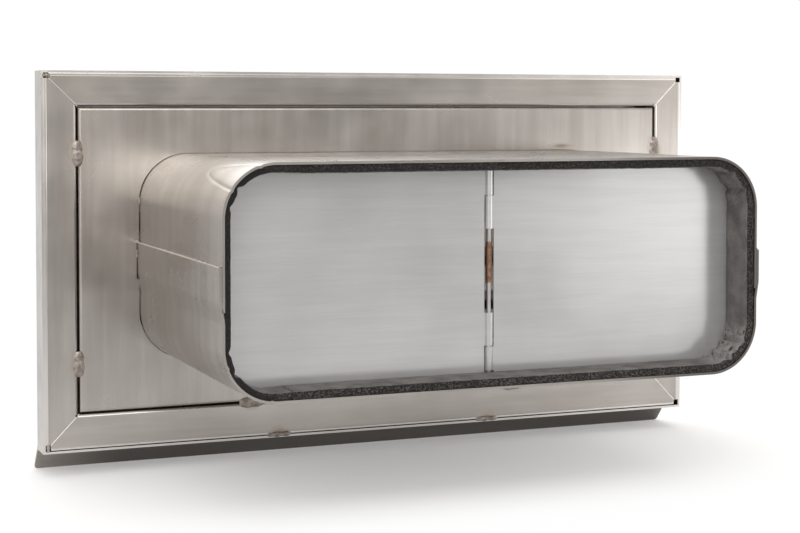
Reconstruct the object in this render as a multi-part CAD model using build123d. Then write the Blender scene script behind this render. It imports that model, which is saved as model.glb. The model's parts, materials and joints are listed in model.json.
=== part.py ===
from build123d import *
import os

# Wall vent with a flat-duct spigot, sprung butterfly flaps and a louvred outdoor cover.
# Millimetres, +Z up. The origin is on the duct axis, in the plane that lies against the wall.
# +Y points outdoors, so the spigot runs towards -Y.

# Sheet metal
SHEET = 1.0
BEND = 1.2

# Outdoor cover
COVER_W = 312.0
COVER_H = 163.0
COVER_DEPTH = 15.0
COVER_DROP = 1.2
WINDOW_SIDE = 25.0
WINDOW_RAIL = 19.5
CHEEK_DEPTH = 10.0
LIP_REACH = 8.0
LIP_DROP = 9.5
LIP_CORNER = 1.5

# Louvre blades
BLADE_COUNT = 6
BLADE_BACK = 4.5
BLADE_REACH = 14.0
BLADE_FALL = 14.0
BLADE_UPSTAND = 4.0
BLADE_HEM = 5.0
BLADE_TAB = 6.0

# Mitred frame against the wall
NEST_GAP = 0.1
FOOT_GAP = 0.5
STRIP_W = 13.9
BOTTOM_STRIP_W = 14.7
CORNER_CLIP = 2.0
STRIP_OUTER_LEG = 10.0
STRIP_INNER_LEG = 8.0
MITRE_GAP = 0.2

# Back plate
PLATE_GAP = 0.6
PLATE_LEG = 8.0
HOLE_CLEARANCE = 0.3

# Spigot of two lapped half shells
SPIGOT_W = 228.0
SPIGOT_H = 89.0
SPIGOT_CORNER = 21.0
SPIGOT_LENGTH = 128.0
SPIGOT_INSIDE = 2.0
SEAM_HEIGHT = 6.0
LAP = 12.0
LAP_GAP = 0.1
JOGGLE = 2.0

# Foam strip in the mouth
FOAM_THICKNESS = 3.5
FOAM_INSET = 0.4
FOAM_GAP = 0.1
FOAM_WIDTH = 15.6
FOAM_JOINT_X = -87.0
FOAM_JOINT_GAP = 0.4
SEAL_GAP = 0.3

# Butterfly flaps, hinge pin and spring
FLAP_SHEET = 0.7
FLAP_CLEARANCE = 0.8
PIN_D = 1.8
PIN_SEAT = 0.03
KNUCKLE_CLEARANCE = 0.05
KNUCKLE_SLIT = 20.0
KNUCKLE_SLIT_W = 0.3
KNUCKLE_LENGTH = 13.3
KNUCKLE_GAP = 0.3
EDGE_CLEARANCE = 0.4
HINGE_WINDOW = 33.3
SPRING_WIRE = 0.35
SPRING_CLEARANCE = 0.1
SPRING_TOP = 11.5
SPRING_LENGTH = 16.5
SPRING_LEG = 22.0
SPRING_LEG_GAP = 0.15

# Tack welds
TACK_LENGTH = 11.0
TACK_MARGIN = 0.1
TACK_HEIGHT = 0.8
TACK_CROWN = 0.5
TACK_SIDE_Z = 45.0
TACK_PLATE_X = 64.0
TACK_SEAM_X = 51.0

# Worked-out places
WINDOW_W = COVER_W - 2 * WINDOW_SIDE
WINDOW_H = COVER_H - 2 * WINDOW_RAIL
NEST = SHEET + NEST_GAP
FRAME_W = COVER_W - 2 * NEST
FRAME_TOP = COVER_H / 2 - NEST - COVER_DROP
FRAME_BOTTOM = SHEET + FOOT_GAP - COVER_H / 2 - COVER_DROP
FRAME_H = FRAME_TOP - FRAME_BOTTOM
PLATE_TOP = FRAME_TOP - STRIP_W - PLATE_GAP
PLATE_BOTTOM = FRAME_BOTTOM + BOTTOM_STRIP_W + PLATE_GAP
PLATE_W = FRAME_W - 2 * (STRIP_W + PLATE_GAP)
LAP_STEP = SHEET + LAP_GAP
LAP_BOTTOM = SEAM_HEIGHT - LAP
JOGGLE_TOP = LAP_BOTTOM - BEND
JOGGLE_BOTTOM = JOGGLE_TOP - JOGGLE
MOUTH_Y = -SPIGOT_LENGTH
FOAM_FRONT = MOUTH_Y + FOAM_INSET
FLAP_FACE = FOAM_FRONT + FOAM_WIDTH + SEAL_GAP
KNUCKLE_INNER_R = PIN_D / 2 + KNUCKLE_CLEARANCE
KNUCKLE_R = KNUCKLE_INNER_R + FLAP_SHEET
PIN_Y = FLAP_FACE + FLAP_SHEET / 2
FLAP_EDGE = KNUCKLE_R + EDGE_CLEARANCE
FLAP_REACH = SPIGOT_W / 2 - SHEET - FLAP_CLEARANCE
FLAP_H = SPIGOT_H - 2 * (SHEET + FLAP_CLEARANCE)
FLAP_CORNER = SPIGOT_CORNER - SHEET - FLAP_CLEARANCE
TACK_WIDTH = 2 * (BEND - TACK_MARGIN) + PLATE_GAP
BARREL_END = SPIGOT_H / 2 - SHEET - FOAM_GAP - FOAM_THICKNESS - SEAL_GAP


def bent_sheet(points, radii, thickness, side):
    """Section of a bent sheet whose outer skin follows the points."""
    skin = Wire(FilletPolyline(*points, radius=radii).edges())
    return Face(skin.offset_2d(thickness, side=side, closed=True))


def across(section, length):
    """Extrude a section drawn in depth and height along the whole width, centred."""
    return extrude(Plane.YZ * section, amount=length / 2, both=True)


def along_duct(section, start, end):
    """Extrude a section drawn in width and height from one depth to another."""
    return extrude(Plane.XZ.offset(-end) * section, amount=end - start, dir=(0, -1, 0))


def block(x0, x1, y0, y1, z0, z1):
    """Box between two corners."""
    size = Box(x1 - x0, y1 - y0, z1 - z0)
    return Pos((x0 + x1) / 2, (y0 + y1) / 2, (z0 + z1) / 2) * size


def rounded_outline(shrink):
    """Rounded rectangle that lies inside the spigot's outer skin by the given amount."""
    width = SPIGOT_W - 2 * shrink
    height = SPIGOT_H - 2 * shrink
    return RectangleRounded(width, height, SPIGOT_CORNER - shrink)


def front_cover():
    """Folded tray with a window, side cheeks for the blades and a drip lip along its foot."""
    tray = block(-COVER_W / 2, COVER_W / 2, 0, COVER_DEPTH, -COVER_H / 2, COVER_H / 2)
    front = tray.faces().sort_by(Axis.Y)[-1]
    tray = fillet(front.edges(), BEND)
    hollow = block(
        SHEET - COVER_W / 2, COVER_W / 2 - SHEET,
        -SHEET, COVER_DEPTH - SHEET,
        SHEET - COVER_H / 2, COVER_H / 2 - SHEET,
    )
    back = hollow.faces().sort_by(Axis.Y)[-1]
    tray -= fillet(back.edges(), BEND - SHEET)
    half = WINDOW_W / 2
    for turn in (-1, 1):
        inner = turn * half
        outer = turn * (half + SHEET)
        cheek_y = COVER_DEPTH - CHEEK_DEPTH
        tray += block(min(inner, outer), max(inner, outer), cheek_y, COVER_DEPTH, -WINDOW_H / 2, WINDOW_H / 2)
    tray -= block(-half, half, -SHEET, COVER_DEPTH + SHEET, -WINDOW_H / 2, WINDOW_H / 2)
    return Pos(0, 0, -COVER_DROP) * (tray + drip_lip())


def drip_lip():
    """Sloping nose that continues the front of the tray below its foot."""
    top = -COVER_H / 2 + BEND
    face_y = COVER_DEPTH
    points = [
        (face_y, top),
        (face_y, -COVER_H / 2),
        (face_y + LIP_REACH, -COVER_H / 2 - LIP_DROP),
    ]
    lip = across(bent_sheet(points, [BEND], SHEET, Side.RIGHT), COVER_W)
    foot = lip.edges().filter_by(Axis.X).sort_by(Axis.Z)[0]
    ends = [e for e in lip.edges() if e.length < 2 * SHEET and abs(e.center().Z - foot.center().Z) < SHEET]
    return fillet([e for e in ends if abs(abs(e.center().X) - COVER_W / 2) < SHEET], LIP_CORNER)


def louvre_blade(index):
    """Fixed blade with an upstand behind, a hem in front and a welded tab at each end."""
    pitch = WINDOW_H / BLADE_COUNT
    top = WINDOW_H / 2 - COVER_DROP - index * pitch - (pitch - BLADE_UPSTAND) / 4
    knee = top - BLADE_UPSTAND
    front = BLADE_BACK + BLADE_REACH
    points = [
        (BLADE_BACK, top),
        (BLADE_BACK, knee),
        (front, knee - BLADE_FALL),
        (front, knee - BLADE_FALL - BLADE_HEM),
    ]
    blade = across(bent_sheet(points, [BEND, BEND], SHEET, Side.LEFT), WINDOW_W)
    slope = BLADE_FALL / BLADE_REACH
    tab_y0 = COVER_DEPTH - CHEEK_DEPTH + SHEET
    tab_y1 = COVER_DEPTH - SHEET
    fall0 = knee - (tab_y0 - BLADE_BACK) * slope
    fall1 = knee - (tab_y1 - BLADE_BACK) * slope
    corners = [(tab_y0, fall0), (tab_y1, fall1), (tab_y1, fall1 + BLADE_TAB), (tab_y0, fall0 + BLADE_TAB)]
    tab = extrude(Plane.YZ * make_face(Polyline(*corners, close=True)), amount=SHEET)
    blade += Pos(-WINDOW_W / 2, 0, 0) * tab
    blade += Pos(WINDOW_W / 2 - SHEET, 0, 0) * tab
    return blade


def frame_strip(length, width):
    """Channel lying along X with its outer edge on Z = 0 and its open side towards +Y."""
    points = [
        (STRIP_OUTER_LEG, 0),
        (0, 0),
        (0, -width),
        (STRIP_INNER_LEG, -width),
    ]
    return across(bent_sheet(points, [BEND, BEND], SHEET, Side.LEFT), length)


def mitre(strip, corner, inner, keep_x):
    """Cut a strip's end along the line from the frame's outer corner to its inner corner."""
    run = Vector(inner[0] - corner[0], 0, inner[1] - corner[1])
    normal = run.cross(Vector(0, 1, 0)).normalized()
    towards = Vector(keep_x[0] - corner[0], 0, keep_x[1] - corner[1])
    if normal.dot(towards) < 0:
        normal = normal * -1
    start = Vector(corner[0], 0, corner[1]) + normal * (MITRE_GAP / 2)
    return split(strip, bisect_by=Plane(origin=start, z_dir=normal), keep=Keep.TOP)


def corner_clip(x, z):
    """Relief at a corner of the frame, where the bends of two strips meet."""
    reach = CORNER_CLIP
    return block(x - reach, x + reach, -SHEET, STRIP_OUTER_LEG + SHEET, z - reach, z + reach)


def rear_frame():
    """Four mitred channels whose webs lie in the wall plane."""
    x = FRAME_W / 2
    inner_x = x - STRIP_W
    inner_top = FRAME_TOP - STRIP_W
    inner_bottom = FRAME_BOTTOM + BOTTOM_STRIP_W
    middle = (FRAME_TOP + FRAME_BOTTOM) / 2
    long = frame_strip(FRAME_W, STRIP_W)
    strips = {
        "top": (Pos(0, 0, FRAME_TOP) * long, (0, FRAME_TOP)),
        "bottom": (
            Pos(0, 0, FRAME_BOTTOM) * mirror(frame_strip(FRAME_W, BOTTOM_STRIP_W), Plane.XY),
            (0, FRAME_BOTTOM),
        ),
        "left": (Pos(-x, 0, middle) * Rot(0, -90, 0) * frame_strip(FRAME_H, STRIP_W), (-x, middle)),
        "right": (Pos(x, 0, middle) * Rot(0, 90, 0) * frame_strip(FRAME_H, STRIP_W), (x, middle)),
    }
    cuts = {
        "top": [((-x, FRAME_TOP), (-inner_x, inner_top)), ((x, FRAME_TOP), (inner_x, inner_top))],
        "bottom": [((-x, FRAME_BOTTOM), (-inner_x, inner_bottom)), ((x, FRAME_BOTTOM), (inner_x, inner_bottom))],
        "left": [((-x, FRAME_TOP), (-inner_x, inner_top)), ((-x, FRAME_BOTTOM), (-inner_x, inner_bottom))],
        "right": [((x, FRAME_TOP), (inner_x, inner_top)), ((x, FRAME_BOTTOM), (inner_x, inner_bottom))],
    }
    done = {}
    for name, (strip, middle_point) in strips.items():
        for corner, inner in cuts[name]:
            strip = mitre(strip, corner, inner, middle_point) - corner_clip(*corner)
        done[name] = strip
    return done


def back_plate():
    """Shallow tray inside the frame, pierced for the spigot and its side laps."""
    plate = block(-PLATE_W / 2, PLATE_W / 2, 0, PLATE_LEG, PLATE_BOTTOM, PLATE_TOP)
    rear = plate.faces().sort_by(Axis.Y)[0]
    plate = fillet(rear.edges(), BEND)
    hollow = block(
        SHEET - PLATE_W / 2, PLATE_W / 2 - SHEET,
        SHEET, PLATE_LEG + SHEET,
        PLATE_BOTTOM + SHEET, PLATE_TOP - SHEET,
    )
    floor = hollow.faces().sort_by(Axis.Y)[0]
    plate -= fillet(floor.edges(), BEND - SHEET)
    plate -= along_duct(rounded_outline(-HOLE_CLEARANCE), -SHEET, 2 * SHEET)
    lap_x = SPIGOT_W / 2 + LAP_STEP + HOLE_CLEARANCE
    lap_low = JOGGLE_BOTTOM - HOLE_CLEARANCE
    plate -= block(-lap_x, lap_x, -SHEET, 2 * SHEET, lap_low, SEAM_HEIGHT + HOLE_CLEARANCE)
    return plate


def upper_shell():
    """Upper half of the spigot: a bent channel whose sides run down inside the lap."""
    x = SPIGOT_W / 2
    top = SPIGOT_H / 2
    points = [(-x, LAP_BOTTOM), (-x, top), (x, top), (x, LAP_BOTTOM)]
    section = bent_sheet(points, [SPIGOT_CORNER, SPIGOT_CORNER], SHEET, Side.RIGHT)
    return along_duct(section, MOUTH_Y, SPIGOT_INSIDE) - pin_hole()


def lower_shell():
    """Lower half of the spigot: its sides step outwards and lap over the upper half."""
    x = SPIGOT_W / 2
    lap_x = x + LAP_STEP
    bottom = -SPIGOT_H / 2
    left = [(-lap_x, SEAM_HEIGHT), (-lap_x, JOGGLE_TOP), (-x, JOGGLE_BOTTOM), (-x, bottom)]
    right = [(-px, pz) for px, pz in reversed(left)]
    radii = [BEND, BEND, SPIGOT_CORNER, SPIGOT_CORNER, BEND, BEND]
    section = bent_sheet(left + right, radii, SHEET, Side.LEFT)
    return along_duct(section, MOUTH_Y, SPIGOT_INSIDE) - pin_hole()


def pin_hole():
    """Hole through the spigot's roof and floor for the hinge pin."""
    return Pos(0, PIN_Y, 0) * Cylinder(PIN_D / 2 + PIN_SEAT, SPIGOT_H + 2 * SHEET)


def foam_seal():
    """Foam strip bent round the mouth, butted in the floor, that the flaps close against."""
    ring = rounded_outline(SHEET + FOAM_GAP) - rounded_outline(SHEET + FOAM_GAP + FOAM_THICKNESS)
    strip = along_duct(ring, FOAM_FRONT, FOAM_FRONT + FOAM_WIDTH)
    half = FOAM_JOINT_GAP / 2
    strip -= block(FOAM_JOINT_X - half, FOAM_JOINT_X + half, MOUTH_Y, 0, -SPIGOT_H / 2, 0)
    return strip - Pos(0, PIN_Y, 0) * Cylinder(PIN_D / 2 + SEAL_GAP, SPIGOT_H)


def knuckle(z0, z1):
    """Barrel rolled from the flap's sheet round the pin, with a slit where the roll ends behind."""
    ring = Circle(KNUCKLE_R) - Circle(KNUCKLE_INNER_R)
    root = (KNUCKLE_R + KNUCKLE_INNER_R) / 2
    slit = Rot(0, 0, KNUCKLE_SLIT) * Pos(KNUCKLE_R, KNUCKLE_SLIT_W / 2) * Rectangle(2 * KNUCKLE_R, KNUCKLE_SLIT_W)
    leaf = Pos((root + FLAP_EDGE) / 2, 0) * Rectangle(FLAP_EDGE - root, FLAP_SHEET)
    return Pos(0, PIN_Y, z0) * extrude(ring - slit + leaf, amount=z1 - z0)


def right_flap():
    """Flat flap with a low and an upper-middle knuckle, closed across the right half of the mouth."""
    width = FLAP_REACH - FLAP_EDGE
    leaf = Pos(FLAP_EDGE + width / 2, 0) * Rectangle(width, FLAP_H)
    far = leaf.vertices().group_by(Axis.X)[-1]
    flap = along_duct(fillet(far, FLAP_CORNER), FLAP_FACE, FLAP_FACE + FLAP_SHEET)
    inner = HINGE_WINDOW / 2
    outer = inner + KNUCKLE_LENGTH
    flap += knuckle(inner, outer - KNUCKLE_GAP / 2)
    flap += knuckle(-BARREL_END, -outer - KNUCKLE_GAP / 2)
    return flap


def left_flap():
    """The same flap turned end for end about the duct axis."""
    return right_flap().rotate(Axis.Y, 180)


def hinge_pin():
    """Straight pin, flush with the spigot's roof and floor."""
    return Pos(0, PIN_Y, 0) * Cylinder(PIN_D / 2, SPIGOT_H)


def torsion_spring():
    """Close-wound coil on the pin, with a leg bearing on the downstream face of each flap."""
    bore = PIN_D / 2 + SPRING_CLEARANCE
    outer = bore + SPRING_WIRE
    leg_y = FLAP_FACE + FLAP_SHEET + SPRING_LEG_GAP + SPRING_WIRE / 2
    high = SPRING_TOP - SPRING_WIRE
    low = SPRING_TOP - SPRING_LENGTH + SPRING_WIRE
    leg = Rot(0, 90, 0) * Cylinder(SPRING_WIRE / 2, SPRING_LEG)
    spring = Pos(0, PIN_Y, (high + low) / 2) * Cylinder(outer, SPRING_LENGTH)
    spring += Pos(-SPRING_LEG / 2, leg_y, high) * leg
    spring += Pos(SPRING_LEG / 2, leg_y, low) * leg
    return spring - Pos(0, PIN_Y, 0) * Cylinder(bore, SPIGOT_H)


def tack(length, width):
    """Flat-footed weld bead lying in the wall plane, raised towards the spigot side."""
    bead = extrude(Plane.XZ * SlotOverall(length, width), amount=TACK_HEIGHT)
    crown = bead.faces().sort_by(Axis.Y)[0]
    return chamfer(crown.edges(), TACK_CROWN)


def tack_welds():
    """Beads that join the plate, the frame and the cover."""
    flat = tack(TACK_LENGTH, TACK_WIDTH)
    upright = Rot(0, 90, 0) * flat
    side_x = PLATE_W / 2 + PLATE_GAP / 2
    foot_z = PLATE_BOTTOM - PLATE_GAP / 2
    seam_z = FRAME_BOTTOM - FOOT_GAP / 2
    slim = tack(TACK_LENGTH, 2 * SHEET)
    places = [Pos(sx * side_x, 0, sz * TACK_SIDE_Z) * upright for sx in (-1, 1) for sz in (-1, 1)]
    places += [Pos(sx * TACK_PLATE_X, 0, foot_z) * flat for sx in (-1, 1)]
    places += [Pos(sx * TACK_SEAM_X, 0, seam_z) * slim for sx in (-1, 1)]
    return Compound(children=[p.solid() for p in places])


parts = {
    "front_cover": front_cover(),
    "back_plate": back_plate(),
    "spigot_upper_shell": upper_shell(),
    "spigot_lower_shell": lower_shell(),
    "foam_seal": foam_seal(),
    "left_flap": left_flap(),
    "right_flap": right_flap(),
    "hinge_pin": hinge_pin(),
    "torsion_spring": torsion_spring(),
    "tack_welds": tack_welds(),
}
for side, strip in rear_frame().items():
    parts["rear_frame_" + side] = strip
for number in range(BLADE_COUNT):
    parts[f"louvre_blade_{number + 1}"] = louvre_blade(number)

os.makedirs("parts", exist_ok=True)
for node, shape in parts.items():
    export_step(shape, f"parts/{node}.step")
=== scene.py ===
import json
import math

import bmesh
import bpy
from mathutils import Matrix, Vector, noise


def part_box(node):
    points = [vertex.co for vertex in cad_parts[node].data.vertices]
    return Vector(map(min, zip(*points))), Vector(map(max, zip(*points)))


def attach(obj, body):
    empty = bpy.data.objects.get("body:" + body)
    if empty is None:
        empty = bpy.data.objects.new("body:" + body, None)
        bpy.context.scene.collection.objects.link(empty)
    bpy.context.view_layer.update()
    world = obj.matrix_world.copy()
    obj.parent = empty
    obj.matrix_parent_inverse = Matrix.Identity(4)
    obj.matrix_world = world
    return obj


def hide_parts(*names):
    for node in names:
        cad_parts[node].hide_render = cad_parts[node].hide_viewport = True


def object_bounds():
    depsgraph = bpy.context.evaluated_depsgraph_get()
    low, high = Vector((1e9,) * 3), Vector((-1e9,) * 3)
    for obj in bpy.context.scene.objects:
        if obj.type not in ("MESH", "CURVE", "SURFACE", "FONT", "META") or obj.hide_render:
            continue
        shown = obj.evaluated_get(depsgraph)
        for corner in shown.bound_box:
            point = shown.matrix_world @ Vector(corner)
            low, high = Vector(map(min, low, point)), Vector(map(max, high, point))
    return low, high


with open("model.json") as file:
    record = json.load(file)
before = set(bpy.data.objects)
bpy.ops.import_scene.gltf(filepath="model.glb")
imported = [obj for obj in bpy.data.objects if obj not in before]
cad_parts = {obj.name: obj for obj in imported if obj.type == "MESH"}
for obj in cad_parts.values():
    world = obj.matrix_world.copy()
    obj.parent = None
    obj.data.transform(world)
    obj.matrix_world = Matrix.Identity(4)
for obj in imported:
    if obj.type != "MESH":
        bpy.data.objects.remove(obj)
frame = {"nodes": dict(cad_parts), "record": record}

# Looks of a wall vent seen from its duct side: satin steel frame, plate and spigot, brushed flaps on a pin,
# a copper-toned spring and a porous foam seal. Metres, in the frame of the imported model.

CAD_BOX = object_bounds()
MM = 0.001

# Places read from the frame
SHELL_LOW, SHELL_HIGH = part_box("spigot_upper_shell")
LAP_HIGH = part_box("spigot_lower_shell")[1]
FOAM_LOW, FOAM_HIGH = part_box("foam_seal")
PLATE_LOW, PLATE_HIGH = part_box("back_plate")
PIN_LOW, PIN_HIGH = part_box("hinge_pin")
SPRING_LOW, SPRING_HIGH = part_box("torsion_spring")
TOP_LOW, TOP_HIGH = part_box("rear_frame_top")
FOOT_LOW, FOOT_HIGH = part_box("rear_frame_bottom")
RIGHT_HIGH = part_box("rear_frame_right")[1]
PIN_Y = (PIN_LOW[1] + PIN_HIGH[1]) / 2
PIN_R = (PIN_HIGH[0] - PIN_LOW[0]) / 2
MOUTH_Y = SHELL_LOW[1]
SPIGOT_END_Y = SHELL_HIGH[1]
HALF_W = SHELL_HIGH[0]
HALF_H = SHELL_HIGH[2]
LAP_X = LAP_HIGH[0]
SEAM_Z = LAP_HIGH[2]
LAP_FOOT_Z = SHELL_LOW[2]

# Sheet metal of the spigot, as in the solids
SHEET = 1.0 * MM
BEND = 1.2 * MM
CORNER = 21.0 * MM
JOGGLE_TOP = LAP_FOOT_Z - BEND
JOGGLE_BOTTOM = JOGGLE_TOP - 7.0 * MM
JOGGLE_BEND = 12.0 * MM

# The upper half's foot runs on into the softened step, so that no gap shows under it
LAP_TAIL = 4.0 * MM

# Dressed edge of the lap
LAP_EDGE_R = 0.7 * MM
LAP_EDGE_OUT = 0.45 * MM
LAP_EDGE_UP = 0.1 * MM
LAP_EDGE_SHORT = 1.0 * MM

# Spigot mesh: spacing of its points, waviness of the sheet, dimple round the pin's peened ends
LINE_STEP = 3.0 * MM
ARC_STEP = 0.45 * MM
FINE_STEP = 0.8 * MM
COARSE_STEP = 4.0 * MM
WAVE = 0.12 * MM
WAVE_SIZE = 55.0 * MM
WAVE_FADE = 12.0 * MM
DIMPLE = 0.16 * MM
DIMPLE_R = 1.5 * MM
DIMPLE_SPAN = 3.0 * MM
DIMPLE_STEP = 0.5 * MM

# Tongue-shaped creases pressed into the left corners: middle and half width as angles from the side wall
CREASE_GROOVE = 0.30 * MM
CREASE_W = 0.6 * MM
CREASE_LIFT = 0.07 * MM
CREASE_LIFT_W = 3.0 * MM
UPPER_CREASE = (math.radians(52), math.radians(20), 44.0 * MM)
LOWER_CREASE = (math.radians(52), math.radians(32), 57.0 * MM)

# Foam strip
FOAM_STEP = 1.1 * MM
FOAM_JOINT_X = -87.0 * MM
FOAM_JOINT_GAP = 0.5 * MM
FOAM_CORNER = 19.9 * MM
FOAM_THIN = 2.6 * MM
FOAM_THICK = 3.4 * MM
FOAM_CREASE_W = 1.3 * MM
FOAM_ROUGH = 0.16 * MM
FOAM_CRUMPLE = 1.1 * MM
FOAM_FRONT_STEPS = 6
FOAM_FACE_STEPS = 30
FOAM_LOBE = 4.4 * MM

# Spring
WIRE_D = 0.35 * MM
COIL_R = PIN_R + 0.1 * MM + WIRE_D / 2
COIL_PITCH = WIRE_D * 1.03
COIL_SEGMENTS = 18
WIRE_SIDES = 8
FLAP_SHEET = 0.7 * MM
LEG_GAP = 0.02 * MM

# Broken edges of the folded sheets
EDGE_BREAK = 0.18 * MM

# Tack welds
TACK_LENGTH = 11.0 * MM
TACK_WIDTH = 4.4 * MM
SEAM_TACK_WIDTH = 2.0 * MM
TACK_HEIGHT = 0.5 * MM
TACK_RIPPLES = 7
TACK_SIDE_Z = 45.0 * MM
TACK_PLATE_X = 64.0 * MM
TACK_SEAM_X = 51.0 * MM
SIDE_GAP_X = PLATE_HIGH[0] + 0.3 * MM
FOOT_GAP_Z = PLATE_LOW[2] - 0.3 * MM
TOP_SEAM_Z = TOP_HIGH[2] + 0.05 * MM
FOOT_SEAM_Z = FOOT_LOW[2] - 0.25 * MM
FRAME_X = RIGHT_HIGH[0]

# Ground seams: width and rise of the fillings, and their reach over the frame's outer bend
MITRE_W = 0.6 * MM
MITRE_RISE = 0.07 * MM
SEAM_W = 1.9 * MM
SEAM_RISE = 0.02 * MM
SEAM_REACH = 0.5 * MM
SEAM_FLATNESS = 0.3
SEAM_SINK = 0.3 * MM
SEAM_SIDES = 10
CLIP = 2.2 * MM
LIP_Z = FOOT_LOW[2] - 2.0 * MM
FOOT_FILL_W = 1.0 * MM
FOOT_FILL_Z = FOOT_LOW[2] + 0.35 * MM
FOOT_FILL_RISE = -0.1 * MM

# Small tacks at the spigot's foot and dabs at the frame's left corners: place along X and Z, and whether the
# bead stands upright
BASE_TACKS = [
    (-HALF_W, 24 * MM, True),
    (-LAP_X, 1.5 * MM, True),
]
CORNER_DABS = [
    (1.2 * MM - FRAME_X, TOP_HIGH[2] - 1.0 * MM, False),
    (1.0 * MM - FRAME_X, FOOT_LOW[2] + 1.0 * MM, True),
]
BASE_TACK_LENGTH = 3.4 * MM
BASE_TACK_WIDTH = 1.6 * MM

# Heat tint: centre and reach of each stain along X and Z
HEAT_STAINS = (
    [((side * SIDE_GAP_X, 0, up * TACK_SIDE_Z), 6 * MM, 11 * MM) for side in (-1, 1) for up in (-1, 1)]
    + [((side * TACK_PLATE_X, 0, FOOT_GAP_Z), 9 * MM, 5 * MM) for side in (-1, 1)]
    + [((side * TACK_SEAM_X, 0, FOOT_SEAM_Z), 8 * MM, 5 * MM) for side in (-1, 1)]
    + [((side * FRAME_X, 0, z), 4 * MM, 4 * MM) for side in (-1, 1) for z in (TOP_SEAM_Z, FOOT_SEAM_Z)]
    + [((90 * MM, 0, HALF_H + 2 * MM), 11 * MM, 2.5 * MM), ((-79 * MM, 0, HALF_H), 4 * MM, 1.8 * MM)]
)

# Finishes and painted light, as linear colours
STEEL_LIGHT = (0.455, 0.426, 0.398, 1)
STEEL_DARK = (0.368, 0.34, 0.312, 1)
STRAW = (0.36, 0.31, 0.255, 1)
SCORCH = (0.20, 0.155, 0.125, 1)
# Dark colour mixed in as painted shade on the drip lip, and as the darker cut edge of the mouth on the right
SHADE_AND_RIM_DARK = (0.10, 0.09, 0.083, 1)
# Painted highlight: a lighter colour on the cover's faces and the seam beads turned to -Y
PAINTED_EDGE_HIGHLIGHT = (0.64, 0.61, 0.585, 1)
FLAP_LIGHT = (0.575, 0.575, 0.57, 1)
FLAP_DARK = (0.48, 0.48, 0.475, 1)
FOAM_BLACK = (0.007, 0.0065, 0.006, 1)
FOAM_GREY = (0.080, 0.069, 0.064, 1)
FOAM_PALE = (0.30, 0.285, 0.275, 1)
FOAM_SKIN = (0.17, 0.16, 0.155, 1)
FOAM_SKIN_DARK = (0.10, 0.095, 0.092, 1)
COPPER = (0.43, 0.26, 0.17, 1)
COPPER_DARK = (0.20, 0.12, 0.085, 1)
PIN_LIGHT = (0.52, 0.51, 0.50, 1)
PIN_DARK = (0.34, 0.33, 0.32, 1)
WELD_LIGHT = (0.34, 0.305, 0.275, 1)
WELD_DARK = (0.20, 0.17, 0.148, 1)
PAPER = (0.93, 0.93, 0.93, 1)
FLOOR_SHADE_GREY = (0.46, 0.455, 0.45, 1)

# Soft panels of the surroundings: azimuth right of -Y, elevation, inner and outer half angle in degrees, and
# strength
WORLD_PANELS = [
    (43, 3, 9, 17, 1.05),
    (-22, 2, 12, 24, 1.95),
    (3, 22, 5, 20, 3.4),
    (21, 2, 2, 9, -0.10),
]

# Level of the surroundings at the horizon and overhead, and their tint
WORLD_LEVELS = (0.57, 0.86)
WORLD_TINT = (1.0, 0.985, 0.965, 1)

# Lamps: name, place, aim, size and power
LAMPS = [
    ("key_left", (-1.1, -1.3, 1.2), (0, 0, 0), (1.4, 1.4), 9),
    ("fill_right", (1.6, -1.0, 0.8), (0, 0, 0), (1.2, 1.2), 4),
    ("card_right", (0.52, -0.51, -0.025), (0.05, -0.05, -0.025), (0.5, 0.13), 0.17),
    ("card_far", (0.57, -0.46, -0.025), (0.1, 0.0, -0.025), (0.36, 0.13), 0.16),
    ("top", (0, 0.2, 1.8), (0, 0, 0), (1.6, 1.6), 9),
    ("rim", (-0.1, 2.0, 0.85), (0, 0, 0), (2.0, 0.6), 7),
]

# Camera of the photograph: place, turn right of +Y, tilt down, lens and shift of the picture
CAMERA_PLACE = (-284.2 * MM, -718.8 * MM, 63.6 * MM)
CAMERA_YAW = 0.3852
CAMERA_PITCH = 0.0358
CAMERA_SENSOR = 36.0
CAMERA_LENS = 76.28
CAMERA_SHIFT = -0.12

# Sweep of paper: where it starts in front and ends behind, half width, height and bend
SWEEP_FRONT = -4.0
SWEEP_BACK = 3.2
SWEEP_HALF = 5.0
SWEEP_HEIGHT = 4.0
SWEEP_COVE = 0.8
SWEEP_STEPS = 12
PAPER_GLOW = 1.08

# The paper's colour fades softly to pale grey, well in front of the object: painted shade, so that the steel
# mirrors a dimmer floor in front
FLOOR_FADE_FROM = -0.70
FLOOR_FADE_TO = -0.20

# The floor keeps the object's shadow inside about this ellipse and turns white outside it
FLOOR_SQUEEZE = (1 / 0.26, 1 / 0.09, 0)

# Grain of the sheets: the texture is squeezed across the direction of rolling
GRAIN_ALONG_X = (1, 16, 16)
GRAIN_ALONG_Z = (16, 16, 1)
GRAIN_ROUND_SPIGOT = (1, 16, 1)


# Small tools

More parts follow.
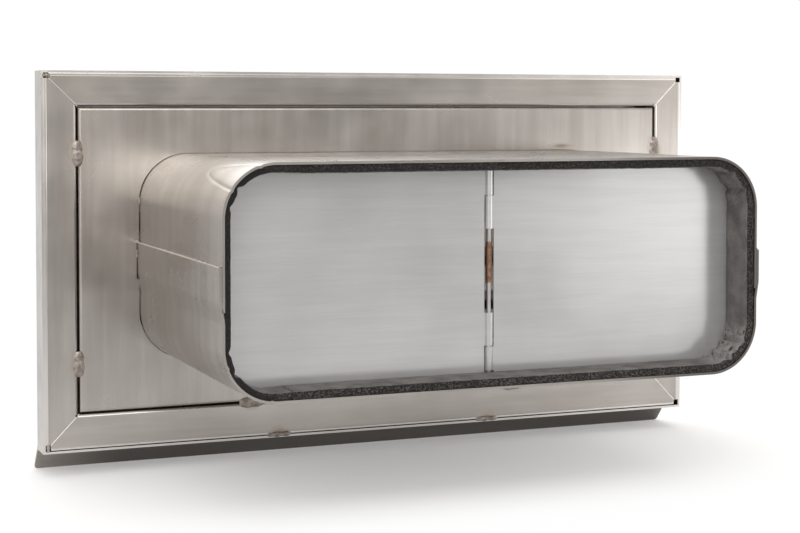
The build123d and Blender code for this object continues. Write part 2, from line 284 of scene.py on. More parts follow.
def rounded_path(corners, radii, line_step, arc_step, extra=()):
    """Points and outward normals along a bent line whose inner corners are rounded.

    The line keeps the outside on its left. Places named in extra are added where a straight run crosses
    them in x."""
    path = []
    starts = [Vector(corners[0])]
    ends = []
    arcs = []
    for before, corner, after, radius in zip(corners, corners[1:], corners[2:], radii):
        into = (Vector(corner) - Vector(before)).normalized()
        out = (Vector(after) - Vector(corner)).normalized()
        turn = math.atan2(into.x * out.y - into.y * out.x, into.dot(out))
        reach = radius * math.tan(abs(turn) / 2)
        ends.append(Vector(corner) - into * reach)
        starts.append(Vector(corner) + out * reach)
        arcs.append((into, turn, radius))
    ends.append(Vector(corners[-1]))
    for number, (start, end) in enumerate(zip(starts, ends)):
        run = end - start
        ahead = run.normalized()
        normal = Vector((-ahead.y, ahead.x))
        count = max(1, math.ceil(run.length / line_step))
        places = {index / count for index in range(count + 1)}
        for x in extra:
            place = (x - start.x) / run.x if abs(run.x) > MM else -1
            if 0 < place < 1:
                places.add(place)
        path += [(start + run * place, normal) for place in sorted(places)]
        if number < len(arcs):
            into, turn, radius = arcs[number]
            side = math.copysign(1, turn)
            across = Vector((-into.y, into.x)) * side
            centre = end + across * radius
            count = max(2, math.ceil(abs(turn) * radius / arc_step))
            for index in range(1, count):
                swing = Matrix.Rotation(turn * index / count, 2)
                path.append((centre - swing @ across * radius, swing @ Vector((-into.y, into.x))))
    return path


def mesh_piece(name, verts, faces, body, sharp_degrees=40):
    """Make a mesh object that rides on a body."""
    data = bpy.data.meshes.new(name)
    data.from_pydata(verts, [], faces)
    work = bmesh.new()
    work.from_mesh(data)
    bmesh.ops.remove_doubles(work, verts=work.verts, dist=0.001 * MM)
    bmesh.ops.recalc_face_normals(work, faces=work.faces)
    for face in work.faces:
        face.smooth = True
    limit = math.radians(sharp_degrees)
    for edge in work.edges:
        if len(edge.link_faces) == 2 and edge.calc_face_angle(0) > limit:
            edge.smooth = False
    work.to_mesh(data)
    work.free()
    piece = bpy.data.objects.new(name, data)
    bpy.context.scene.collection.objects.link(piece)
    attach(piece, body)
    return piece


def skinned_rings(rings, closed_ends=True):
    """Vertices and faces of a tube through rings of equal length."""
    size = len(rings[0])
    verts = [tuple(point) for ring in rings for point in ring]
    faces = []
    for row in range(len(rings) - 1):
        for index in range(size):
            other = (index + 1) % size
            base = row * size
            faces.append((base + index, base + other, base + size + other, base + size + index))
    if closed_ends:
        faces.append(tuple(range(size)))
        faces.append(tuple(reversed(range(len(verts) - size, len(verts)))))
    return verts, faces


def join(verts, faces, points, polygons):
    """Add one mesh to the lists of another."""
    first = len(verts)
    verts += points
    faces += [tuple(first + index for index in polygon) for polygon in polygons]


def wire_rings(points, radius):
    """Rings round a smooth line of points."""
    rings = []
    side = None
    for index, point in enumerate(points):
        ahead = (points[min(index + 1, len(points) - 1)] - points[max(index - 1, 0)]).normalized()
        if side is None:
            side = ahead.orthogonal().normalized()
        side = (side - ahead * side.dot(ahead)).normalized()
        up = ahead.cross(side)
        ring = []
        for step in range(WIRE_SIDES):
            angle = 2 * math.pi * step / WIRE_SIDES
            ring.append(point + side * radius * math.cos(angle) + up * radius * math.sin(angle))
        rings.append(ring)
    return rings


def smooth_step(value):
    """Ease from 0 to 1."""
    value = min(1.0, max(0.0, value))
    return value * value * (3 - 2 * value)


# Spigot shells

def crease_lift(x, z, depth, crease):
    """Height of a tongue-shaped crease on a left corner, at a depth behind the mouth."""
    middle, half, reach = crease
    dx = -x - (HALF_W - CORNER)
    dz = abs(z) - (HALF_H - CORNER)
    if dx > 0 and dz > 0:
        angle = math.atan2(dz, dx)
    elif dx > 0:
        angle = dz / CORNER
    else:
        angle = math.pi / 2 - dx / CORNER
    across = (angle - middle) / half
    edge = depth - reach * (1 - across * across)
    slope = 2 * reach * across / (half * CORNER)
    distance = edge / math.hypot(1, slope)
    groove = math.exp(-((distance / CREASE_W) ** 2))
    inside = smooth_step(-distance / CREASE_LIFT_W)
    return CREASE_LIFT * inside - CREASE_GROOVE * groove


def skin_lift(point, depth, crease):
    """How far the sheet stands proud of its true form."""
    x, z = point
    wave = noise.noise(Vector((x, depth, z)) / WAVE_SIZE) * WAVE * smooth_step(depth / WAVE_FADE)
    pin = math.hypot(x, depth + MOUTH_Y - PIN_Y)
    wave -= DIMPLE * math.exp(-((pin / DIMPLE_R) ** 2))
    if x < 0 and abs(z) > LAP_HIGH[2]:
        wave += crease_lift(x, z, depth, crease)
    return wave


def shell_depths():
    """Depths behind the mouth at which the shells have rows of points."""
    depths = set()
    fine_end = max(UPPER_CREASE[2], LOWER_CREASE[2]) + 3 * MM
    length = SPIGOT_END_Y - MOUTH_Y
    for start, end, step in (
        (0, fine_end, FINE_STEP),
        (fine_end, length, COARSE_STEP),
        (PIN_Y - MOUTH_Y - DIMPLE_SPAN, PIN_Y - MOUTH_Y + DIMPLE_SPAN, DIMPLE_STEP),
    ):
        count = math.ceil((end - start) / step)
        depths.update(round(start + (end - start) * index / count, 6) for index in range(count + 1))
    return sorted(depths)


def shell_piece(name, node, corners, radii, crease):
    """One half of the spigot as a thin bent sheet with its creases and slight waves."""
    count = int(DIMPLE_SPAN / DIMPLE_STEP)
    near_pin = [DIMPLE_STEP * index for index in range(-count, count + 1)]
    path = rounded_path(corners, radii, LINE_STEP, ARC_STEP, near_pin)
    rings = []
    for depth in shell_depths():
        outer = []
        inner = []
        for point, normal in path:
            lift = skin_lift(point, depth, crease)
            skin = point + normal * lift
            back = skin - normal * SHEET
            outer.append((skin.x, MOUTH_Y + depth, skin.y))
            inner.append((back.x, MOUTH_Y + depth, back.y))
        rings.append(outer + list(reversed(inner)))
    size = len(path)
    verts, faces = skinned_rings(rings, closed_ends=False)
    last = (len(rings) - 1) * 2 * size
    for index in range(size - 1):
        mate = 2 * size - 1 - index
        faces.append((index, mate, mate - 1, index + 1))
        faces.append((last + index, last + index + 1, last + mate - 1, last + mate))
    piece = mesh_piece(name, verts, faces, "housing")
    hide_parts(node)
    return piece


def spigot_shells():
    """The upper half, and the lower half that steps out and laps over it."""
    foot = LAP_FOOT_Z - LAP_TAIL
    upper = [(-HALF_W, foot), (-HALF_W, HALF_H), (HALF_W, HALF_H), (HALF_W, foot)]
    right = [(LAP_X, SEAM_Z), (LAP_X, JOGGLE_TOP), (HALF_W, JOGGLE_BOTTOM), (HALF_W, -HALF_H)]
    lower = right + [(-x, z) for x, z in reversed(right)]
    bends = [JOGGLE_BEND, JOGGLE_BEND, CORNER, CORNER, JOGGLE_BEND, JOGGLE_BEND]
    return [
        shell_piece("upper_shell_skin", "spigot_upper_shell", upper, [CORNER, CORNER], UPPER_CREASE),
        shell_piece("lower_shell_skin", "spigot_lower_shell", lower, bends, LOWER_CREASE),
    ]


def lap_edges():
    """Rounded upper edges of the lap, one on each side."""
    verts = []
    faces = []
    for side in (-1, 1):
        x, z = side * (HALF_W + LAP_EDGE_OUT), SEAM_Z + LAP_EDGE_UP
        ends = (MOUTH_Y + LAP_EDGE_SHORT, SPIGOT_END_Y - LAP_EDGE_SHORT)
        join(verts, faces, *skinned_rings(wire_rings([Vector((x, y, z)) for y in ends], LAP_EDGE_R)))
    return mesh_piece("lap_edges", verts, faces, "housing", 60)


# Foam strip

# Pinched places of the strip where it was pressed into the corners: side, height, angle from the side wall
# and thickness
FOAM_PINCHES = [
    (-1, 1, math.radians(14.5), 1.7 * MM),
    (-1, 1, math.radians(38.5), 1.1 * MM),
    (-1, -1, math.radians(4), 1.6 * MM),
    (-1, -1, math.radians(31), 0.9 * MM),
    (1, 1, math.radians(54), 1.9 * MM),
    (1, 1, math.radians(24), 2.2 * MM),
    (1, -1, math.radians(30), 1.8 * MM),
    (1, -1, math.radians(58), 2.0 * MM),
]


def corner_place(point):
    """Side, height and angle from the side wall of a place on the strip, or None on the straight runs."""
    dx = abs(point.x) - (FOAM_HIGH[0] - FOAM_CORNER)
    dz = abs(point.y) - (FOAM_HIGH[2] - FOAM_CORNER)
    if dx <= 0 or dz <= 0:
        return None
    return math.copysign(1, point.x), math.copysign(1, point.y), math.atan2(dz, dx)


def foam_thickness(point):
    """Thickness of the strip at a place on its outer line."""
    side = smooth_step((point.x - FOAM_LOW[0]) / (40 * MM))
    thickness = FOAM_THIN + (FOAM_THICK - FOAM_THIN) * side
    place = corner_place(point)
    if place:
        for sx, sz, angle, pinched in FOAM_PINCHES:
            if place[0] == sx and place[1] == sz:
                distance = (place[2] - angle) * FOAM_CORNER
                thickness -= (thickness - pinched) * math.exp(-((distance / FOAM_CREASE_W) ** 2))
    return thickness


def foam_crumple(point):
    """How strongly the strip's face is crumpled: most in the right-hand corners."""
    place = corner_place(point)
    if not place or place[0] < 0:
        return 0.12
    return (1.0 if place[1] < 0 else 0.5) * math.sin(2 * place[2]) + 0.12


def foam_ring(point, normal, run):
    """Section of the strip at one place, from the outer front edge round to the outer back edge."""
    front, back = FOAM_LOW[1], FOAM_HIGH[1]
    thickness = foam_thickness(point)
    crumple = foam_crumple(point)
    section = []
    for step in range(FOAM_FRONT_STEPS):
        share = step / FOAM_FRONT_STEPS
        rough = 0.5 + 0.5 * noise.noise(Vector((run, share * thickness, 0)) / (0.9 * MM))
        edge = 0.35 * MM * smooth_step((share - 0.7) / 0.3)
        section.append((share * thickness, front + FOAM_ROUGH * 1.6 * rough + edge))
    for step in range(FOAM_FACE_STEPS + 1):
        share = step / FOAM_FACE_STEPS
        y = front + 0.5 * MM + (back - front - 0.6 * MM) * share
        nearest, second = noise.voronoi(Vector((run, y, 3 * MM)) / FOAM_LOBE)[0][:2]
        fold = math.exp(-(((second - nearest) / 0.16) ** 2))
        fine = noise.noise(Vector((run, y, 9 * MM)) / (1.3 * MM))
        round_off = 0.3 * MM * (smooth_step(1 - share * 8) + smooth_step(share * 8 - 7))
        depth = thickness - round_off - FOAM_CRUMPLE * crumple * fold + FOAM_ROUGH * 0.6 * fine
        section.append((max(depth, 0.3 * MM), y))
    section += [(thickness * 0.6, back), (thickness * 0.25, back), (0, back)]
    return [(point.x - normal.x * depth, y, point.y - normal.y * depth) for depth, y in section]


def foam_strip():
    """Foam strip bent round the inside of the mouth and butted in the floor."""
    x, z = FOAM_HIGH[0], FOAM_HIGH[2]
    half_gap = FOAM_JOINT_GAP / 2
    start, end = (FOAM_JOINT_X - half_gap, -z), (FOAM_JOINT_X + half_gap, -z)
    corners = [start, (-x, -z), (-x, z), (x, z), (x, -z), end]
    path = rounded_path(corners, [FOAM_CORNER] * 4, FOAM_STEP, FOAM_STEP / 2)
    rings = []
    run = 0.0
    last = path[0][0]
    for point, normal in path:
        run += (point - last).length
        last = point
        rings.append(foam_ring(point, normal, run))
    verts, faces = skinned_rings(rings)
    piece = mesh_piece("foam_strip", verts, faces, "housing", 70)
    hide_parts("foam_seal")
    return piece


# Spring and welds

def spring_coil():
    """Close-wound coil on the pin."""
    low = SPRING_LOW[2] + WIRE_D / 2
    high = SPRING_HIGH[2] - WIRE_D / 2
    steps = int((high - low) / COIL_PITCH * COIL_SEGMENTS)
    points = []
    for index in range(steps + 1):
        angle = 2 * math.pi * index / COIL_SEGMENTS
        height = low + (high - low) * index / steps
        points.append(Vector((COIL_R * math.cos(angle), PIN_Y + COIL_R * math.sin(angle), height)))
    verts, faces = skinned_rings(wire_rings(points, WIRE_D / 2))
    piece = mesh_piece("spring_coil", verts, faces, "housing", 80)
    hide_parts("torsion_spring")
    return piece


def spring_leg(name, side, body, height):
    """Straight end of the spring wire, which bears on the downstream face of one flap and turns with it."""
    leg_y = PIN_Y + FLAP_SHEET / 2 + LEG_GAP + WIRE_D / 2
    start = math.sqrt(COIL_R ** 2 - (leg_y - PIN_Y) ** 2)
    end = SPRING_HIGH[0]
    points = [Vector((side * (start + (end - start) * index / 12), leg_y, height)) for index in range(13)]
    verts, faces = skinned_rings(wire_rings(points, WIRE_D / 2))
    return mesh_piece(name, verts, faces, body, 80)


def bead(length, width):
    """Rippled weld bead lying along X on the wall plane, as vertices and faces."""
    rows, columns = 60, 14
    verts = []
    for row in range(rows + 1):
        u = 2 * row / rows - 1
        body = (1 - abs(u) ** 4) ** 0.5
        spread = (0.35 + 0.65 * body) * (1 + 0.3 * noise.noise(Vector((u * 2.5, width / MM, length / MM))))
        for column in range(columns + 1):
            v = 2 * column / columns - 1
            ripple = 0.05 * math.sin(math.pi * TACK_RIPPLES * (u - 0.35 * v * v))
            lumps = 0.30 * noise.noise(Vector((u * 3, v * 2, length / MM)))
            crown = max(0.0, 1 - v * v) ** 0.6 * body * (0.84 + ripple + lumps)
            verts.append((u * length / 2, -TACK_HEIGHT * min(1.0, crown), v * width / 2 * spread))
    faces = []
    for row in range(rows):
        for column in range(columns):
            base = row * (columns + 1) + column
            faces.append((base, base + 1, base + columns + 2, base + columns + 1))
    rim = [row * (columns + 1) for row in range(rows + 1)]
    rim += [row * (columns + 1) + columns for row in reversed(range(rows + 1))]
    faces.append(tuple(rim))
    return verts, faces


def tack_beads():
    """The welds that join the plate, the frame and the cover."""
    spots = [(side * SIDE_GAP_X, up * TACK_SIDE_Z, TACK_WIDTH, True) for side in (-1, 1) for up in (-1, 1)]
    spots += [(side * TACK_PLATE_X, FOOT_GAP_Z, TACK_WIDTH, False) for side in (-1, 1)]
    spots += [(side * TACK_SEAM_X, FOOT_SEAM_Z, SEAM_TACK_WIDTH, False) for side in (-1, 1)]
    spots = [(x, z, TACK_LENGTH, width, upright) for x, z, width, upright in spots]
    for x, z, upright in BASE_TACKS + CORNER_DABS:
        spots.append((x, z, BASE_TACK_LENGTH, BASE_TACK_WIDTH, upright))
    verts = []
    faces = []
    for x, z, length, width, upright in spots:
        points, polygons = bead(length, width)
        if upright:
            placed = [(x - pz, py, z + px) for px, py, pz in points]
        else:
            placed = [(x + px, py, z + pz) for px, py, pz in points]
        join(verts, faces, placed, polygons)
    piece = mesh_piece("tack_beads", verts, faces, "housing", 75)
    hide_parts("tack_welds")
    return piece


def seam_beads():
    """Ground seams along the mitres and between the frame and the cover."""
    x, top, foot = FRAME_X, TOP_HIGH[2], FOOT_LOW[2]
    inner_x, inner_top, inner_foot = SIDE_GAP_X, TOP_LOW[2], FOOT_HIGH[2]
    edge = SEAM_W / 2 - SEAM_REACH
    runs = []
    for side in (-1, 1):
        runs.append(((side * (x - CLIP), top - CLIP), (side * inner_x, inner_top), MITRE_W, MITRE_RISE))
        runs.append(((side * (x - CLIP), foot + CLIP), (side * inner_x, inner_foot), MITRE_W, MITRE_RISE))
        runs.append(((side * (x - edge), foot + CLIP), (side * (x - edge), top - CLIP), SEAM_W, SEAM_RISE))
    runs.append(((CLIP - x, top - edge), (x - CLIP, top - edge), SEAM_W, SEAM_RISE))
    runs.append(((CLIP - x, FOOT_FILL_Z), (x - CLIP, FOOT_FILL_Z), FOOT_FILL_W, FOOT_FILL_RISE))
    verts = []
    faces = []
    for start, end, width, rise in runs:
        along = (Vector(end) - Vector(start)).normalized()
        across = Vector((-along.y, along.x))
        rings = []
        for point in (Vector(start), Vector(end)):
            ring = []
            for step in range(SEAM_SIDES + 1):
                angle = math.pi * step / SEAM_SIDES
                place = point + across * (width / 2 * math.cos(angle))
                crown = max(0.0, math.sin(angle)) ** SEAM_FLATNESS
                ring.append((place.x, SEAM_SINK - (rise + SEAM_SINK) * crown, place.y))
            rings.append(ring)
        join(verts, faces, *skinned_rings(rings))
    return mesh_piece("seam_beads", verts, faces, "housing", 60)


# Materials

def put(tree, kind, inputs=None, **settings):
    """Add a shader node. An input given as a socket is linked, and any other is set."""
    node = tree.nodes.new("ShaderNode" + kind)
    for key, value in settings.items():
        setattr(node, key, value)
    for key, value in (inputs or {}).items():
        if isinstance(value, bpy.types.NodeSocket):
            tree.links.new(value, node.inputs[key])
        else:
            node.inputs[key].default_value = value
    return node


def new_material(name):
    """Empty material with one surface shader."""
    material = bpy.data.materials.new(name)
    material.use_nodes = True
    tree = material.node_tree
    tree.nodes.clear()
    shader = put(tree, "BsdfPrincipled")
    put(tree, "OutputMaterial", {"Surface": shader.outputs["BSDF"]})
    place = put(tree, "TexCoord").outputs["Object"]
    return material, tree, shader, place


def stretched(tree, place, scale):
    """Texture place stretched along its axes."""
    return put(tree, "Mapping", {"Vector": place, "Scale": scale}).outputs["Vector"]


def noise_value(tree, place, scale, detail=3.0, rough=0.55):
    """Cloudy value from 0 to 1."""
    inputs = {"Vector": place, "Scale": scale, "Detail": detail, "Roughness": rough}
    return put(tree, "TexNoise", inputs).outputs["Fac"]


def ranged(tree, value, low, high, to_low, to_high):
    """Value mapped from one range to another."""
    inputs = {"Value": value, "From Min": low, "From Max": high, "To Min": to_low, "To Max": to_high}
    return put(tree, "MapRange", inputs, interpolation_type="SMOOTHSTEP").outputs["Result"]


def math_value(tree, operation, first, second):
    """Result of one sum."""
    return put(tree, "Math", {0: first, 1: second}, operation=operation).outputs[0]


def mixed(tree, share, first, second):
    """Colour between two colours."""
    return put(tree, "Mix", {0: share, 6: first, 7: second}, data_type="RGBA").outputs[2]


def bumped(tree, height, strength, distance, normal=None):
    """Normal bumped by a height."""
    inputs = {"Height": height, "Strength": strength, "Distance": distance}
    if normal:
        inputs["Normal"] = normal
    return put(tree, "Bump", inputs).outputs["Normal"]


def facing_y(tree):
    """Part of the surface's direction along Y."""
    normal = put(tree, "NewGeometry").outputs["Normal"]
    return put(tree, "SeparateXYZ", {"Vector": normal}).outputs["Y"]


def heat_mask(tree, place):
    """1 at the middle of a heat stain, 0 away from all of them, with a ragged edge."""
    ragged = ranged(tree, noise_value(tree, place, 110, 2), 0.3, 0.7, 0.8, 1.2)
    total = None
    for centre, reach_x, reach_z in HEAT_STAINS:
        apart = put(tree, "VectorMath", {0: place, 1: centre}, operation="SUBTRACT").outputs["Vector"]
        shares = (1 / reach_x, 1 / reach_x, 1 / reach_z)
        apart = put(tree, "VectorMath", {0: apart, 1: shares}, operation="MULTIPLY").outputs["Vector"]
        away = put(tree, "VectorMath", {0: apart}, operation="LENGTH").outputs["Value"]
        stain_and_shade = ranged(tree, math_value(tree, "MULTIPLY", away, ragged), 0.0, 1.0, 1.0, 0.0)
        total = math_value(tree, "MAXIMUM", total, stain_and_shade) if total else stain_and_shade
    return total


def lip_shade(tree, place):
    """Painted shade on the drip lip, lighter towards its left end."""
    along = put(tree, "SeparateXYZ", {"Vector": place}).outputs
    low = ranged(tree, along["Z"], LIP_Z - 1.3 * MM, LIP_Z, 1, 0)
    return math_value(tree, "MULTIPLY", low, ranged(tree, along["X"], -156 * MM, -115 * MM, 0.3, 0.85))


def rim_darkening(tree, place):
    """Darker cut edge of the mouth, on faces turned to -Y, more so towards the right."""
    along = put(tree, "SeparateXYZ", {"Vector": place}).outputs["X"]
    front = ranged(tree, facing_y(tree), -0.9, -0.5, 1, 0)
    return math_value(tree, "MULTIPLY", front, ranged(tree, along, 10 * MM, 85 * MM, 0, 0.9))


def steel_material(name, grain_scale, stain_and_shade=None, edge_highlight=False, sheen=(0.20, 0.28)):
    """Satin stainless sheet: rolling grain, cloudy sheen, handling smears and heat tint at the welds, with
    an optional painted highlight on faces turned to -Y and an optional darker colour mixed in by a given
    mask.
    """
    material, tree, shader, place = new_material(name)
    clouds = noise_value(tree, place, 14, 4)
    rolled = stretched(tree, place, grain_scale)
    streaks = noise_value(tree, rolled, 9, 4, 0.6)
    smears = noise_value(tree, place, 40, 2)
    clouds = math_value(tree, "MULTIPLY", clouds, 0.5)
    streaks = math_value(tree, "MULTIPLY", streaks, 0.5)
    shade = math_value(tree, "ADD", clouds, streaks)
    colour = mixed(tree, ranged(tree, shade, 0.35, 0.65, 0, 1), STEEL_DARK, STEEL_LIGHT)
    heat = heat_mask(tree, place)
    colour = mixed(tree, ranged(tree, heat, 0.1, 0.6, 0, 0.6), colour, STRAW)
    colour = mixed(tree, ranged(tree, heat, 0.5, 1.0, 0, 0.7), colour, SCORCH)
    rough = ranged(tree, smears, 0.3, 0.75, sheen[0], sheen[1])
    # Painted highlight: faces turned to -Y are lighter
    if edge_highlight:
        colour = mixed(tree, ranged(tree, facing_y(tree), -0.98, -0.85, 0.9, 0), colour, PAINTED_EDGE_HIGHLIGHT)
    # Darker colour by the given mask: painted shade on the drip lip, a darker mouth edge on the spigot
    if stain_and_shade:
        share = stain_and_shade(tree, place)
        colour = mixed(tree, share, colour, SHADE_AND_RIM_DARK)
        rough = math_value(tree, "ADD", rough, math_value(tree, "MULTIPLY", share, 0.2))
    tree.links.new(colour, shader.inputs["Base Color"])
    shader.inputs["Metallic"].default_value = 1.0
    rough = math_value(tree, "ADD", rough, ranged(tree, heat, 0.2, 0.9, 0.0, 0.12))
    tree.links.new(rough, shader.inputs["Roughness"])
    normal = bumped(tree, noise_value(tree, place, 16, 1), 0.5, 0.8 * MM)
    normal = bumped(tree, noise_value(tree, rolled, 9, 1), 0.2, 0.12 * MM, normal)
    tree.links.new(normal, shader.inputs["Normal"])
    return material


def flap_material():
    """Bright sheet, finely brushed across its width."""
    material, tree, shader, place = new_material("flap_sheet")
    fine = noise_value(tree, stretched(tree, place, (1, 1, 90)), 40, 4, 0.7)
    broad = noise_value(tree, stretched(tree, place, (1, 1, 14)), 24, 3)
    clouds = noise_value(tree, place, 26, 4)
    share = ranged(tree, fine, 0.25, 0.75, 0, 0.35)
    share = math_value(tree, "ADD", share, ranged(tree, broad, 0.3, 0.7, 0, 0.35))
    share = math_value(tree, "ADD", share, ranged(tree, clouds, 0.3, 0.7, 0, 0.3))
    tree.links.new(mixed(tree, share, FLAP_DARK, FLAP_LIGHT), shader.inputs["Base Color"])
    shader.inputs["Metallic"].default_value = 0.6
    tree.links.new(ranged(tree, clouds, 0.3, 0.7, 0.15, 0.22), shader.inputs["Roughness"])
    normal = bumped(tree, noise_value(tree, place, 18, 1), 0.3, 0.5 * MM)
    normal = bumped(tree, fine, 0.12, 0.05 * MM, normal)
    tree.links.new(normal, shader.inputs["Normal"])
    return material


def foam_material():
    """Black cellular rubber: open pores on its cut edges, a greyer closed skin on its faces."""
    material, tree, shader, place = new_material("foam")
    cells = put(tree, "TexVoronoi", {"Vector": place, "Scale": 1100.0}).outputs["Distance"]
    specks = noise_value(tree, place, 1500, 2, 0.7)
    places = put(tree, "SeparateXYZ", {"Vector": place}).outputs
    dust = noise_value(tree, place, 120, 3)
    share = ranged(tree, specks, 0.46, 0.64, 0, 1)
    share = math_value(tree, "MULTIPLY", share, ranged(tree, dust, 0.3, 0.7, 0.6, 1))
    share = math_value(tree, "MULTIPLY", share, ranged(tree, places["X"], -106 * MM, -88 * MM, 0.15, 1))
    share = math_value(tree, "MULTIPLY", share, ranged(tree, places["Z"], 28 * MM, 40 * MM, 1, 0.5))
    cut = mixed(tree, share, FOAM_BLACK, FOAM_GREY)
    skin = mixed(tree, ranged(tree, dust, 0.3, 0.7, 0, 1), FOAM_SKIN_DARK, FOAM_SKIN)
    # Paler skin towards the lower right corner of the strip
    paler_lower_right = math_value(tree, "MULTIPLY", ranged(tree, places["X"], 88 * MM, 104 * MM, 0, 0.8),
                      ranged(tree, places["Z"], -34 * MM, -22 * MM, 1, 0))
    skin = mixed(tree, paler_lower_right, skin, FOAM_PALE)
    on_edge = ranged(tree, math_value(tree, "ABSOLUTE", facing_y(tree), 0.0), 0.35, 0.75, 0, 1)
    tree.links.new(mixed(tree, on_edge, skin, cut), shader.inputs["Base Color"])
    shader.inputs["Roughness"].default_value = 0.9
    shader.inputs["Specular IOR Level"].default_value = 0.3
    normal = bumped(tree, ranged(tree, cells, 0.1, 0.6, 0, 1), 0.7, 0.3 * MM)
    normal = bumped(tree, specks, 0.4, 0.12 * MM, normal)
    tree.links.new(normal, shader.inputs["Normal"])
    return material


def wire_material(name, dark, light, stretch, scale, roughness):
    """Drawn wire with streaks and dull patches."""
    material, tree, shader, place = new_material(name)
    streaks = noise_value(tree, stretched(tree, place, stretch), scale, 4, 0.65)
    colour = mixed(tree, ranged(tree, streaks, 0.3, 0.7, 0, 1), dark, light)
    tree.links.new(colour, shader.inputs["Base Color"])
    shader.inputs["Metallic"].default_value = 1.0
    tree.links.new(ranged(tree, streaks, 0.3, 0.7, roughness + 0.12, roughness), shader.inputs["Roughness"])
    tree.links.new(bumped(tree, streaks, 0.2, 0.05 * MM), shader.inputs["Normal"])
    return material


def weld_material():
    """Heat-tinted weld metal."""
    material, tree, shader, place = new_material("weld_metal")
    blotches = noise_value(tree, place, 420, 4, 0.6)
    colour = mixed(tree, ranged(tree, blotches, 0.35, 0.65, 0, 1), WELD_DARK, WELD_LIGHT)
    tree.links.new(colour, shader.inputs["Base Color"])
    shader.inputs["Metallic"].default_value = 1.0
    tree.links.new(ranged(tree, blotches, 0.3, 0.7, 0.55, 0.36), shader.inputs["Roughness"])
    tree.links.new(bumped(tree, noise_value(tree, place, 1300, 3), 0.4, 0.12 * MM), shader.inputs["Normal"])
    return material


def soften(thing):
    """Break the sharp edges of a folded sheet, so that they catch the light."""
    weld = thing.modifiers.new("weld", "WELD")
    weld.merge_threshold = 0.002 * MM
    bevel = thing.modifiers.new("broken_edge", "BEVEL")
    bevel.width = EDGE_BREAK
    bevel.segments = 2
    bevel.limit_method = "ANGLE"
    bevel.angle_limit = math.radians(40)
    bevel.harden_normals = True


def paint(thing, material):
    """Give an object one material in all its slots."""
    if not thing.material_slots:
        thing.data.materials.append(material)
    for slot in thing.material_slots:
        slot.material = material


# Studio

def sweep():
    """Pale floor that curves up behind the object into a backdrop."""
    floor_z = CAD_BOX[0][2]
    bend_y, bend_z = SWEEP_BACK - SWEEP_COVE, floor_z + SWEEP_COVE
    profile = [(SWEEP_FRONT, floor_z), (bend_y, floor_z)]
    for step in range(1, SWEEP_STEPS + 1):
        angle = math.pi / 2 * step / SWEEP_STEPS
        profile.append((bend_y + SWEEP_COVE * math.sin(angle), bend_z - SWEEP_COVE * math.cos(angle)))
    profile.append((SWEEP_BACK, floor_z + SWEEP_HEIGHT))
    verts = [(side * SWEEP_HALF, y, z) for y, z in profile for side in (-1, 1)]
    faces = [(2 * i, 2 * i + 1, 2 * i + 3, 2 * i + 2) for i in range(len(profile) - 1)]
    data = bpy.data.meshes.new("studio_sweep")
    data.from_pydata(verts, [], faces)
    for polygon in data.polygons:
        polygon.use_smooth = True
    thing = bpy.data.objects.new("studio_sweep", data)
    bpy.context.scene.collection.objects.link(thing)
    material, tree, shader, place = new_material("paper")
    near = put(tree, "SeparateXYZ", {"Vector": place}).outputs["Y"]
    # Painted shade: the floor's colour turns pale grey well in front of the object
    colour = mixed(tree, ranged(tree, near, FLOOR_FADE_FROM, FLOOR_FADE_TO, 0, 1), FLOOR_SHADE_GREY, PAPER)
    tree.links.new(colour, shader.inputs["Base Color"])
    shader.inputs["Roughness"].default_value = 0.9
    shader.inputs["Specular IOR Level"].default_value = 0.1
    rays = put(tree, "LightPath").outputs
    seen = math_value(tree, "MAXIMUM", rays["Is Camera Ray"], rays["Is Glossy Ray"])
    seen = math_value(tree, "MAXIMUM", seen, rays["Is Transmission Ray"])
    glow = put(tree, "Emission", {"Color": colour, "Strength": PAPER_GLOW}).outputs["Emission"]
    flat = put(tree, "VectorMath", {0: place, 1: FLOOR_SQUEEZE}, operation="MULTIPLY").outputs["Vector"]
    away = put(tree, "VectorMath", {0: flat}, operation="LENGTH").outputs["Value"]
    share = math_value(tree, "MULTIPLY", seen, ranged(tree, away, 0.75, 1.6, 0.22, 0.93))
    blend = put(tree, "MixShader", {0: share, 1: shader.outputs["BSDF"], 2: glow}).outputs["Shader"]
    surface = next(node for node in tree.nodes if node.type == "OUTPUT_MATERIAL")
    tree.links.new(blend, surface.inputs["Surface"])
    paint(thing, material)


def softbox(name, place, aim, size, power):
    """Large soft lamp aimed at a point."""
    data = bpy.data.lights.new(name, "AREA")
    data.shape = "RECTANGLE"
    data.size, data.size_y = size
    data.energy = power
    lamp = bpy.data.objects.new(name, data)
    lamp.location = place
    lamp.visible_camera = False
    lamp.rotation_euler = (Vector(aim) - Vector(place)).to_track_quat("-Z", "Y").to_euler()
    bpy.context.scene.collection.objects.link(lamp)


def studio_world():
    """Soft surroundings: brighter above, with a few soft panels in front of the mouth."""
    world = bpy.data.worlds.new("studio")
    bpy.context.scene.world = world
    world.use_nodes = True
    tree = world.node_tree
    tree.nodes.clear()
    direction = put(tree, "TexCoord").outputs["Generated"]
    height = put(tree, "SeparateXYZ", {"Vector": direction}).outputs["Z"]
    light = ranged(tree, height, -0.1, 0.9, *WORLD_LEVELS)
    for azimuth, elevation, inner, outer, strength in WORLD_PANELS:
        turn, rise = math.radians(azimuth), math.radians(elevation)
        aim = (math.sin(turn) * math.cos(rise), -math.cos(turn) * math.cos(rise), math.sin(rise))
        near = put(tree, "VectorMath", {0: direction, 1: aim}, operation="DOT_PRODUCT").outputs["Value"]
        edges = math.cos(math.radians(outer)), math.cos(math.radians(inner))
        light = math_value(tree, "ADD", light, ranged(tree, near, edges[0], edges[1], 0, strength))
    surface = put(tree, "Background", {"Color": WORLD_TINT, "Strength": light})
    put(tree, "OutputWorld", {"Surface": surface.outputs["Background"]})


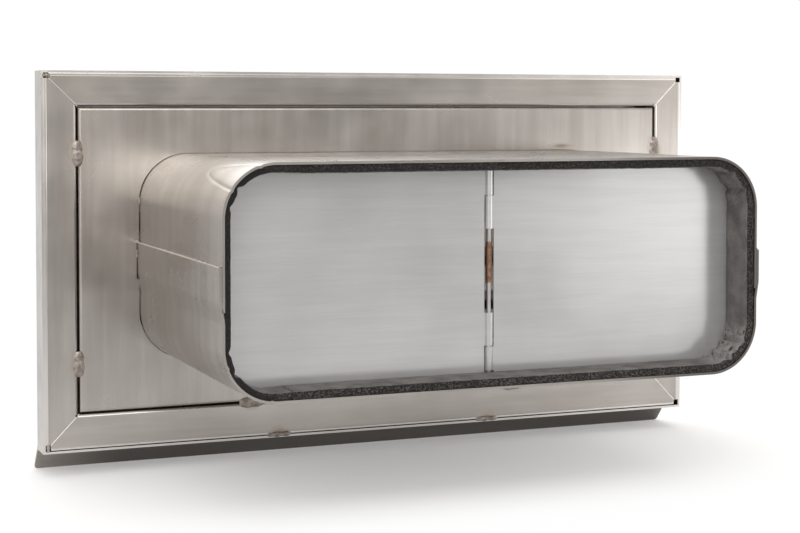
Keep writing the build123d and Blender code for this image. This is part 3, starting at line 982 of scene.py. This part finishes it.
def photo_camera():
    """Camera at the photograph's viewing angle."""
    level = math.cos(CAMERA_PITCH)
    ahead = Vector((math.sin(CAMERA_YAW) * level, math.cos(CAMERA_YAW) * level, -math.sin(CAMERA_PITCH)))
    right = Vector((math.cos(CAMERA_YAW), -math.sin(CAMERA_YAW), 0))
    up = right.cross(ahead)
    data = bpy.data.cameras.new("photo_camera")
    data.sensor_width = CAMERA_SENSOR
    data.lens = CAMERA_LENS
    data.shift_y = CAMERA_SHIFT
    camera = bpy.data.objects.new("photo_camera", data)
    turn = Matrix((right, up, -ahead)).transposed().to_4x4()
    camera.matrix_world = Matrix.Translation(CAMERA_PLACE) @ turn
    bpy.context.scene.collection.objects.link(camera)
    bpy.context.scene.camera = camera


STEEL_X = steel_material("satin_steel_across", GRAIN_ALONG_X)
STEEL_Z = steel_material("satin_steel_upright", GRAIN_ALONG_Z)
STEEL_ROUND = steel_material("satin_steel_round", GRAIN_ROUND_SPIGOT, rim_darkening, sheen=(0.26, 0.34))
STEEL_COVER = steel_material("satin_steel_cover", GRAIN_ALONG_X, lip_shade, True)
COPPER_WIRE = wire_material("spring_wire", COPPER_DARK, COPPER, (1, 1, 1), 900, 0.34)
WELD = weld_material()
FOAM = foam_material()
MATERIALS = {
    "foam": FOAM,
    "pin_steel": wire_material("pin_steel", PIN_DARK, PIN_LIGHT, (14, 14, 1), 120, 0.30),
    "spring_wire": COPPER_WIRE,
    "weld_metal": WELD,
    "flap_sheet": flap_material(),
    "satin_steel": STEEL_X,
}
UPRIGHT_GRAIN = ("back_plate", "rear_frame_left", "rear_frame_right")
SOFT_EDGED = ("front_cover", "rear_frame_top", "rear_frame_bottom", "rear_frame_left", "rear_frame_right")
NODE_SLOTS = {part["node"]: part["material_slot"] for part in frame["record"]["subparts"]}
for node, thing in frame["nodes"].items():
    paint(thing, STEEL_Z if node in UPRIGHT_GRAIN else MATERIALS[NODE_SLOTS[node]])

# The cover's steel paints shade on the drip lip and a highlight on faces turned to -Y
paint(frame["nodes"]["front_cover"], STEEL_COVER)
for node in SOFT_EDGED:
    soften(frame["nodes"][node])

for shell in spigot_shells():
    paint(shell, STEEL_ROUND)
paint(foam_strip(), FOAM)
paint(spring_coil(), COPPER_WIRE)
paint(spring_leg("left_spring_leg", -1, "left_flap", SPRING_HIGH[2] - WIRE_D), COPPER_WIRE)
paint(spring_leg("right_spring_leg", 1, "right_flap", SPRING_LOW[2] + WIRE_D), COPPER_WIRE)
paint(tack_beads(), WELD)
# The seam beads take the cover's steel, with its painted highlight on faces turned to -Y
paint(seam_beads(), STEEL_COVER)
paint(lap_edges(), STEEL_ROUND)

sweep()
studio_world()
for lamp in LAMPS:
    softbox(*lamp)
photo_camera()
bpy.context.scene.view_settings.view_transform = "Standard"
